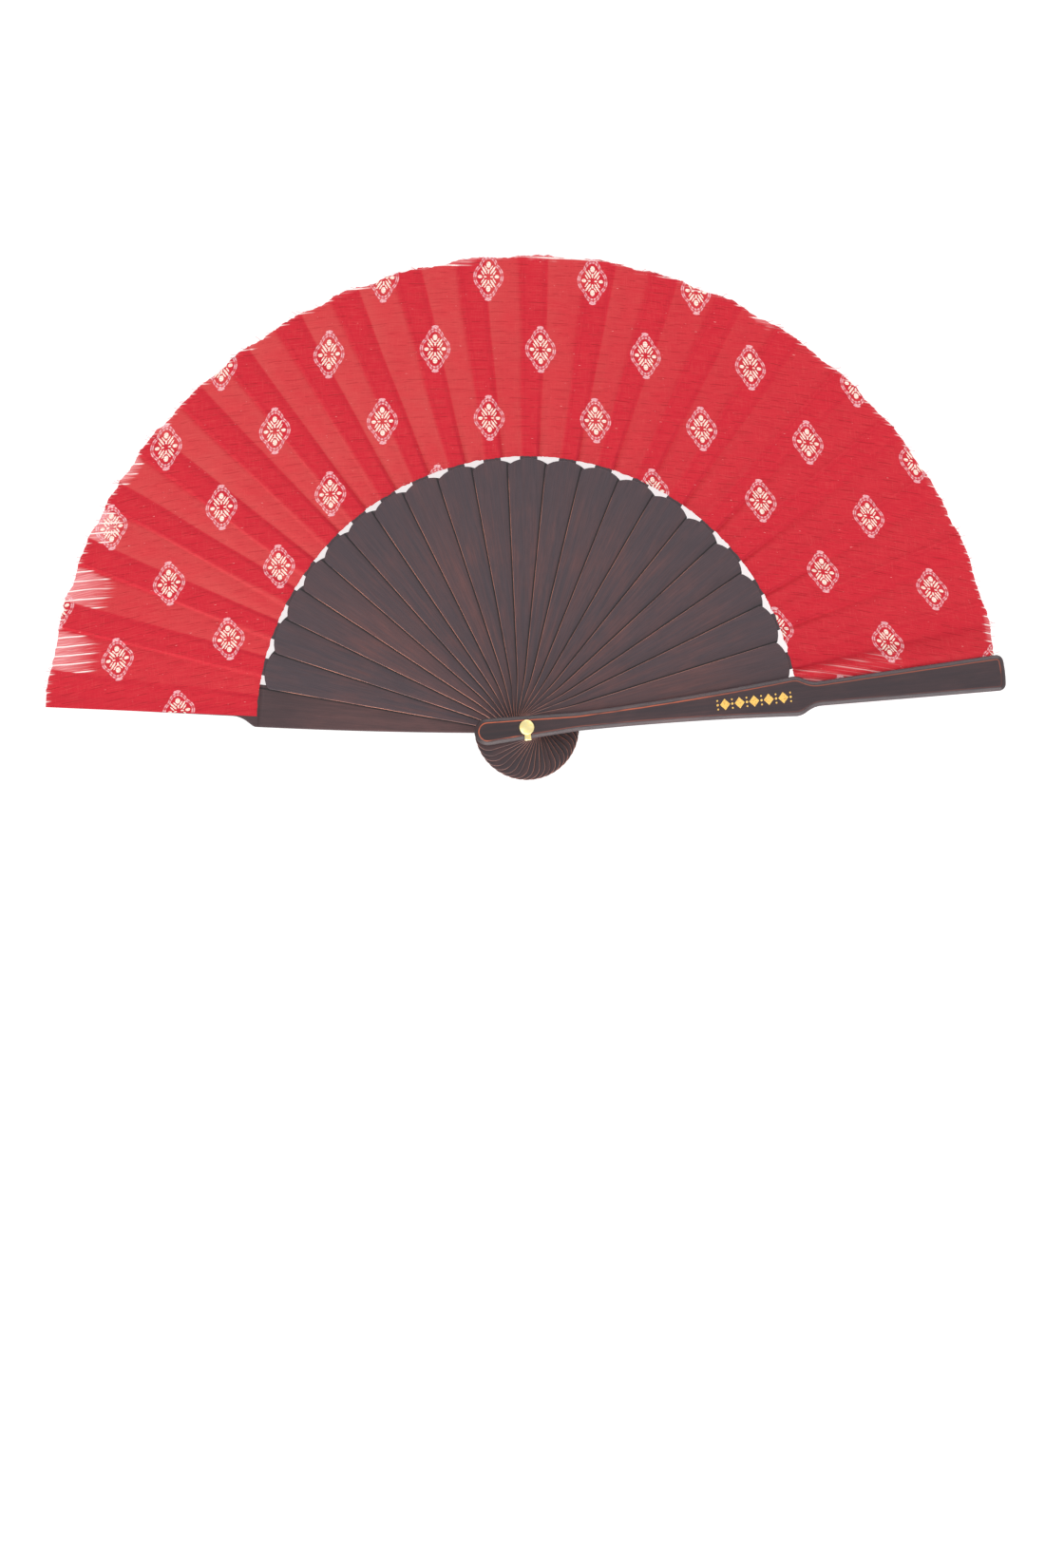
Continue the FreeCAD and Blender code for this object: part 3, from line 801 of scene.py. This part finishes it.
def make_washer(material):
    """A disc with a hole, and a tab that crosses the guard and folds down over its edge."""
    r, t, e = WASHER_RADIUS, WASHER_THICK, 0.08
    profile = [
        (BORE_RADIUS, e), (BORE_RADIUS + e, 0.0), (r - e, 0.0), (r, e), (r, t - e),
        (r - e, t), (BORE_RADIUS + e, t), (BORE_RADIUS, t - e), (BORE_RADIUS, e),
    ]  # fmt: skip
    points, faces = lathe(profile, GUARD_THICK)

    # the tab's middle line goes out from the disc, over a small bend and down the guard's edge
    bend, half = 0.45, t / 2
    middle = [(-2.4, half), (-TAB_REACH + half + bend, half)]
    for n in range(1, 7):
        a = math.pi / 2 * n / 6
        middle.append((-TAB_REACH + half + bend - bend * math.sin(a), half - bend * (1 - math.cos(a))))
    middle.append((-TAB_REACH + half, -TAB_DROP))
    side = TAB_WIDE / 2
    section = [(-side, -half + e), (-side + e, -half), (side - e, -half), (side, -half + e)]
    section += [(side, half - e), (side - e, half), (-side + e, half), (-side, half - e)]
    rings = []
    for n, (y, z) in enumerate(middle):
        before, after = middle[max(0, n - 1)], middle[min(len(middle) - 1, n + 1)]
        run = Vector((after[0] - before[0], after[1] - before[1])).normalized()
        normal = Vector((run.y, -run.x))
        ring = []
        for x, h in section:
            ring.append(len(points))
            points.append((x, y + normal.x * h, GUARD_THICK + z + normal.y * h))
        rings.append(ring)
    for low, high in zip(rings, rings[1:]):
        for n in range(8):
            after = (n + 1) % 8
            faces.append((low[n], high[n], high[after], low[after]))
    faces += [tuple(rings[0]), tuple(rings[-1][::-1])]

    piece = new_mesh("tab_washer_brass", turned(points, TURNS[-1], LEVELS[-1]), faces)
    piece.data.materials.append(material)
    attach(piece, "front_guard")
    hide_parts("tab_washer")


def make_ornament(material):
    """A row of gilded lozenges and dots on the front guard, each a low closed dome."""
    points, faces = [], []

    def stud(at, across, half_x, half_y, sides):
        first = len(points)
        for height, share in ((-0.04, 1.0), (0.07, 0.93), (0.1, 0.6)):
            for n in range(sides):
                a = 2 * math.pi * n / sides
                points.append((
                    at + half_x * share * math.cos(a),
                    across + half_y * share * math.sin(a),
                    GUARD_THICK + height,
                ))
        points.append((at, across, GUARD_THICK + 0.11))
        for n in range(sides):
            after = (n + 1) % sides
            for ring in (0, 1):
                a, b = first + ring * sides, first + (ring + 1) * sides
                faces.append((a + n, a + after, b + after, b + n))
            faces.append((first + 2 * sides + n, first + 2 * sides + after, first + 3 * sides))
        faces.append(tuple(first + n for n in range(sides))[::-1])

    start, pitch, count = 88.5, 6.5, 5
    for n in range(count):
        stud(start + pitch * n, 0.0, 2.3, 2.6, 4)
    for n in range(count + 1):
        at = start + pitch * (n - 0.5)
        stud(at, 0.0, 0.55, 0.55, 12)
        for across in (-1.9, 1.9):
            stud(at, across, 0.42, 0.42, 12)

    piece = new_mesh("guard_ornament", turned(points, TURNS[-1], LEVELS[-1]), faces)
    for face in piece.data.polygons:
        face.use_smooth = len(face.vertices) < 4
    piece.data.materials.append(material)
    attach(piece, "front_guard")


# ---------------------------------------------------------------- the leaf

PLEATS = RIBS + 1
LEAF_ROWS = 34  # steps from the leaf's inner edge to its outer edge
TUCK_TURN = 0.12  # how far a stretch goes on under the next one
UNDER_NEXT = 0.12  # how far the free cloth passes below the next stick
GUARD_TOP_HALF = 5.5  # the half width of the back guard's neck that the first stretch lies on
FRONT_LAP = 8.6  # how far left of its middle the front guard covers the last stretch


def slip_half(radius):
    """Half the width of a rib's stick at a distance from the rivet."""
    share = (radius - STICK_ROOT_AT) / (STICK_TIP_AT - STICK_ROOT_AT)
    return STICK_ROOT_HALF + (STICK_TIP_HALF - STICK_ROOT_HALF) * share


def outer_radius(turn):
    """The leaf was cut by hand, so its outer edge runs a little further out on the left."""
    further = 3.6 * smooth((turn - 120.0) / 52.0) + 1.2 * smooth((turn - 168.0) / 9.0)
    uneven = 0.9 * noise_at(turn * 0.35, 3.0, 0.0)
    frayed = 0.55 * noise_at(turn * 1.3, 4.0, 0.0) + 0.45 * noise_at(turn * 4.1, 6.0, 0.0)
    return 210.4 + further + uneven + frayed


def inner_radius(turn, last):
    """The leaf's lower edge, which lifts a little where its last stretch meets the front guard."""
    uneven = 0.5 * noise_at(turn * 0.6, 9.0, 0.0) + 0.3 * noise_at(turn * 3.1, 2.0, 0.0)
    lifted = 2.2 * smooth((TURNS[-1] + 4.6 - turn) / 2.5) if last else 0.0
    return LEAF_INNER + 0.5 + uneven + lifted


def cloth_uv(x, y):
    """The place on the flat cloth of a point of the spread leaf, all in units of 100 mm. The cloth
    keeps its upright grain right across the fan, and gives a little towards the outer edge. The
    first three numbers of each line say how it is laid, and the last three how it gives."""
    across = 0.035 + 0.946 * x + 0.153 * y + 0.008 * x * x + 0.034 * x * y - 0.042 * y * y
    up = -2.491 - 0.021 * x + 1.186 * y + 0.061 * x * x + 0.030 * x * y - 0.0505 * y * y
    return across, up


def pulled_share(number, turn, depth, pale):
    """How far the weft is pulled away at a depth inside the outer edge: most at the left end's pale
    facets, in patches along the rest, and along the end by the front guard."""
    reach = {1: 26.0, 2: 25.0, 3: 14.0, 4: 5.0}.get(number, 4.0)
    patches = smooth(0.15 + 2.4 * noise_at(turn * 0.21, 1.0, 0.0))
    if number <= 4:
        share = 0.12 + 0.88 * pale
    elif number < 9:
        share = 0.8 * patches * (0.3 + 0.7 * pale)
    else:
        share = 0.8 * patches
    edge = smooth(1.0 - depth / reach) * share
    hem = 0.35 * smooth(1.0 - depth / 0.9)
    beside_guard = number == PLEATS and depth > 40.0
    guard_side = 0.22 * smooth(1.0 - (turn - TURNS[-1] - 4.5) / 3.0) if beside_guard else 0.0
    return max(edge, hem, guard_side)


def pleat_columns(width):
    """Turns across a pleat from its left crease, closer together at the creases."""
    facet = [FACET_TURN * n / 10 for n in range(10)]
    free = [FACET_TURN + (width - FACET_TURN) * (n / 15) for n in range(16)]
    near = [FACET_TURN + step for step in (-0.5, -0.4, -0.2, -0.1, 0.1, 0.2)]
    near += [TUCK_TURN] + [width - step for step in (TUCK_TURN, 0.3, 0.5, 0.75)]
    columns = []
    for x in sorted(facet + free + near):
        if not columns or x - columns[-1] > 0.04:
            columns.append(x)
    columns[-1] = width
    return columns


class Stretch:
    """One stretch of the leaf, from the crease on one stick to the crease on the next. It lies on
    the first stick, dips into a soft valley, and climbs over the edge of the next stick. A place
    on it is x, the turn to the right of its crease, and a radius."""

    def __init__(self, number):
        self.number = number
        self.first, self.last = number == 1, number == PLEATS
        self.stick, self.next_stick = TURNS[number - 1], TURNS[number]
        self.crease = self.stick + CREASE_TURN
        # the leaf's two ends, on the guards, are further out than a crease would be
        self.left = self.stick + (LEAF_END_TURN if self.first else CREASE_TURN)
        self.right = self.next_stick + (-LEAF_TUCK_TURN if self.last else CREASE_TURN)
        self.width = self.crease - self.right
        self.low = LEVELS[number - 1] + STICK_THICK + CLOTH_LIFT
        if self.first:
            self.low = GUARD_THICK - REBATE_DEEP + CLOTH_LIFT
        self.high = LEVELS[number] + STICK_THICK + CLOTH_LIFT
        if self.last:
            self.high = LEVELS[number] + REBATE_DEEP - UNDER_NEXT
        self.sag = min(0.98, 0.16 * (number - 1))
        self.columns = pleat_columns(self.width)
        if self.first:
            self.columns.insert(0, self.crease - self.left)
        if not self.last:
            self.columns.append(self.width + TUCK_TURN)
        self.points, self.faces, self.uvs = [], [], []
        self.light, self.pulled, self.shade = [], [], []

    def free_share(self, x):
        """How far along the free cloth between the two sticks a place is, from 0 to 1."""
        return min(1.0, max(0.0, (x - FACET_TURN) / (self.width - FACET_TURN)))

    def height(self, x, radius):
        turn, free_share = self.crease - x, self.free_share(x)
        # right of the first stick's middle line, and left of the next stick's, in millimetres
        from_first = radius * math.radians(self.stick - turn)
        to_next = radius * math.radians(turn - self.next_stick)
        edge = max(slip_half(radius), GUARD_TOP_HALF if self.first else 0.0)
        if x <= FACET_TURN:
            valley_at = radius * math.radians(FACET_TURN - CREASE_TURN)
            dip = smooth((from_first - edge) / max(0.5, valley_at - edge))
        else:
            mirrored = edge / (radius * math.radians(FACET_TURN)) + CREASE_TURN / FACET_TURN
            dip = smooth((1.0 - free_share - mirrored) / max(0.05, 1.0 - mirrored))
        climb = (LEVELS[self.number] - UNDER_NEXT - self.low) * free_share
        ripple = 0.1 * noise_at(turn * 0.5, radius * 0.06, self.number * 3.0)
        z = self.low - self.sag * dip + climb + ripple * smooth((x - 1.9) / 0.8)
        lap = FRONT_LAP if self.last else slip_half(radius)
        z += (self.high - z) * smooth((lap + 1.1 - to_next) / 0.85)
        tucked = x > self.width + 0.01  # under the next stretch
        return z - 0.04 if tucked else z

    def add_place(self, x, inner, outer, share):
        turn, radius = self.crease - x, inner + (outer - inner) * share
        point = direction(turn) * radius
        self.points.append((point.x, point.y, self.height(x, radius)))
        self.uvs.append(cloth_uv(point.x / 100, point.y / 100))

        # painted light: the pale facet, lighter as if lit through the cloth and tilted to the light,
        # starts sharply at the valley and fades before the next crease
        warp = 0.22 * noise_at(self.number * 5.0, radius * 0.025, 8.0)
        to_stick = turn - self.next_stick + 1.6 * warp
        starts = smooth((x + warp - FACET_TURN + 0.16) / 0.32)
        ends = 1.0 if self.last else smooth((to_stick - 1.0) / 0.9)
        # painted light: the pale facets fade towards the right, away from the light
        strength = 1.0 - smooth((118.0 - turn) / 85.0) * 0.9
        strength *= {1: 0.25, 2: 0.65}.get(self.number, 1.0)
        soft = 0.85 + 0.3 * noise_at(turn * 0.25, radius * 0.03, 5.0)
        # painted shade: darker where the free cloth sinks between the sticks
        sunk = 1.0 - 0.25 * math.sin(math.pi * self.free_share(x))
        self.light.append(starts * ends * strength * soft * sunk)
        self.pulled.append(pulled_share(self.number, turn, outer - radius, starts * ends))

        # shade along the valley, most near the ribs' blades, and a little beside the crease
        near_inner = 0.3 + 0.6 * smooth(1.0 - (radius - inner) / 30.0)
        valley = smooth(1.0 - abs(x + warp - FACET_TURN + 0.5) / 0.45) * near_inner
        side = smooth(1.0 - x / 0.28) if x >= 0 else 0.0
        self.shade.append(max(valley * 0.7, side * 0.25))

    def weave(self):
        """The cloth itself: a grid of columns across and rows from the inner edge to the outer."""
        tall = LEAF_ROWS + 1
        for x in self.columns:
            inner, outer = inner_radius(self.crease - x, self.last), outer_radius(self.crease - x)
            outer -= 0.9 * math.sin(math.pi * self.free_share(x))
            for n in range(tall):
                self.add_place(x, inner, outer, n / LEAF_ROWS)
        for c in range(len(self.columns) - 1):
            for n in range(LEAF_ROWS):
                a, b = c * tall + n, (c + 1) * tall + n
                self.faces.append((a + 1, b + 1, b, a))

    def fray(self):
        """Loose pale threads along the outer edge."""
        for _ in range(9):
            column = random.randrange(len(self.columns) - 4)
            at_edge = column * (LEAF_ROWS + 1) + LEAF_ROWS
            root = Vector(self.points[at_edge]) - direction(self.crease - self.columns[column]) * 0.3
            side = 1.0 if root.x > 0 else -1.0
            heading = Vector((side * random.uniform(0.5, 1.0), random.uniform(-0.25, 0.45), 0.0))
            heading.normalize()
            square = Vector((-heading.y, heading.x, 0.0))
            reach = heading * random.uniform(0.8, 3.2)
            bend, wide = square * random.uniform(-0.5, 0.5), square * 0.09
            start = len(self.points)
            for share, drift in ((0.0, 0.0), (0.35, 0.6), (0.7, 1.0), (1.0, 0.7)):
                middle = root + reach * share + bend * drift
                for edge_point in (middle + wide, middle - wide):
                    self.points.append(tuple(edge_point))
                    self.uvs.append(self.uvs[at_edge])
                    self.light.append(1.0)
                    self.pulled.append(1.6)
                    self.shade.append(0.0)
            for a in (start, start + 2, start + 4):
                self.faces.append((a, a + 1, a + 3, a + 2))


def make_pleat(number, material):
    stretch = Stretch(number)
    stretch.weave()
    stretch.fray()
    piece = new_mesh("leaf_pleat_%02d_cloth" % number, stretch.points, stretch.faces)
    add_uv(piece, "cloth", stretch.uvs)
    add_values(piece, "light", stretch.light)
    add_values(piece, "pulled", stretch.pulled)
    add_values(piece, "crease", stretch.shade)
    piece.data.materials.append(material)

    creased = direction(TURNS[number] + CREASE_TURN)
    gap = math.radians(TURNS[number - 1] - TURNS[number])
    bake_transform(piece)
    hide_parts("leaf_pleat_%02d" % number)
    across = math.radians(stretch.left - stretch.right)


# ---------------------------------------------------------------- the room


def make_room():
    """A pale floor, soft white light from all round, and a camera straight above."""
    scene = bpy.context.scene
    scene.view_settings.view_transform = "Standard"
    scene.view_settings.look = "None"

    bpy.ops.mesh.primitive_plane_add(size=14.0, location=(0, 0, -0.0004))
    floor = bpy.context.object
    floor.name = "floor"
    material, tree, shader = new_material("floor_pale")
    shader.inputs["Base Color"].default_value = (0.42, 0.42, 0.42, 1.0)
    shader.inputs["Emission Color"].default_value = (1.0, 1.0, 1.0, 1.0)
    shader.inputs["Emission Strength"].default_value = 0.78
    shader.inputs["Roughness"].default_value = 0.9
    shader.inputs["Specular IOR Level"].default_value = 0.1
    floor.data.materials.append(material)

    world = bpy.data.worlds.new("studio")
    scene.world = world
    world.use_nodes = True
    background = world.node_tree.nodes["Background"]
    background.inputs["Color"].default_value = (1.0, 1.0, 1.0, 1.0)
    background.inputs["Strength"].default_value = 0.78

    middle = Vector((0, 0.05, 0))
    for name, place, wide, tall, power in (
        ("key", (-1.3, -1.5, 2.0), 2.0, 2.0, 20.0),
        ("fill", (1.4, 1.2, 2.4), 2.0, 2.0, 8.0),
        ("south_strip", (0.1, -1.3, 0.3), 1.8, 0.5, 16.0),
        ("north_strip", (0.1, 1.5, 0.3), 1.8, 0.5, 11.0),
    ):
        lamp = bpy.data.lights.new(name, "AREA")
        lamp.shape, lamp.size, lamp.size_y, lamp.energy = "RECTANGLE", wide, tall, power
        light = bpy.data.objects.new(name, lamp)
        light.location = place
        light.rotation_euler = (middle - Vector(place)).to_track_quat("-Z", "Y").to_euler()
        scene.collection.objects.link(light)

    # straight above, with a frame 0.698 m tall at half the fan's thickness
    height, frame_tall, half_thick = 3.2, 0.698, 0.015
    camera = bpy.data.cameras.new("camera")
    camera.sensor_width = 36.0
    camera.lens = camera.sensor_width * (height - half_thick) / frame_tall
    camera.clip_end = 60.0
    eye = bpy.data.objects.new("camera", camera)
    eye.location = (-0.0019, -0.0251, height)
    scene.collection.objects.link(eye)
    scene.camera = eye


guard_wood = make_wood(
    "guard_wood_stained", rgb(51, 38, 43), rgb(88, 58, 58), rgb(196, 96, 62), 2.0, 0.34
)
rib_wood = make_wood(
    "rib_wood_stained", rgb(66, 53, 59), rgb(103, 64, 62), rgb(214, 138, 114), 0.1, 0.145
)
brass = make_brass()
cloth = make_cloth()

make_ribs(rib_wood)
make_guards(guard_wood)
dress_rivet(brass)
make_cap(brass)
make_washer(brass)
make_ornament(make_gilding())
for pleat in range(1, PLEATS + 1):
    make_pleat(pleat, cloth)
make_room()
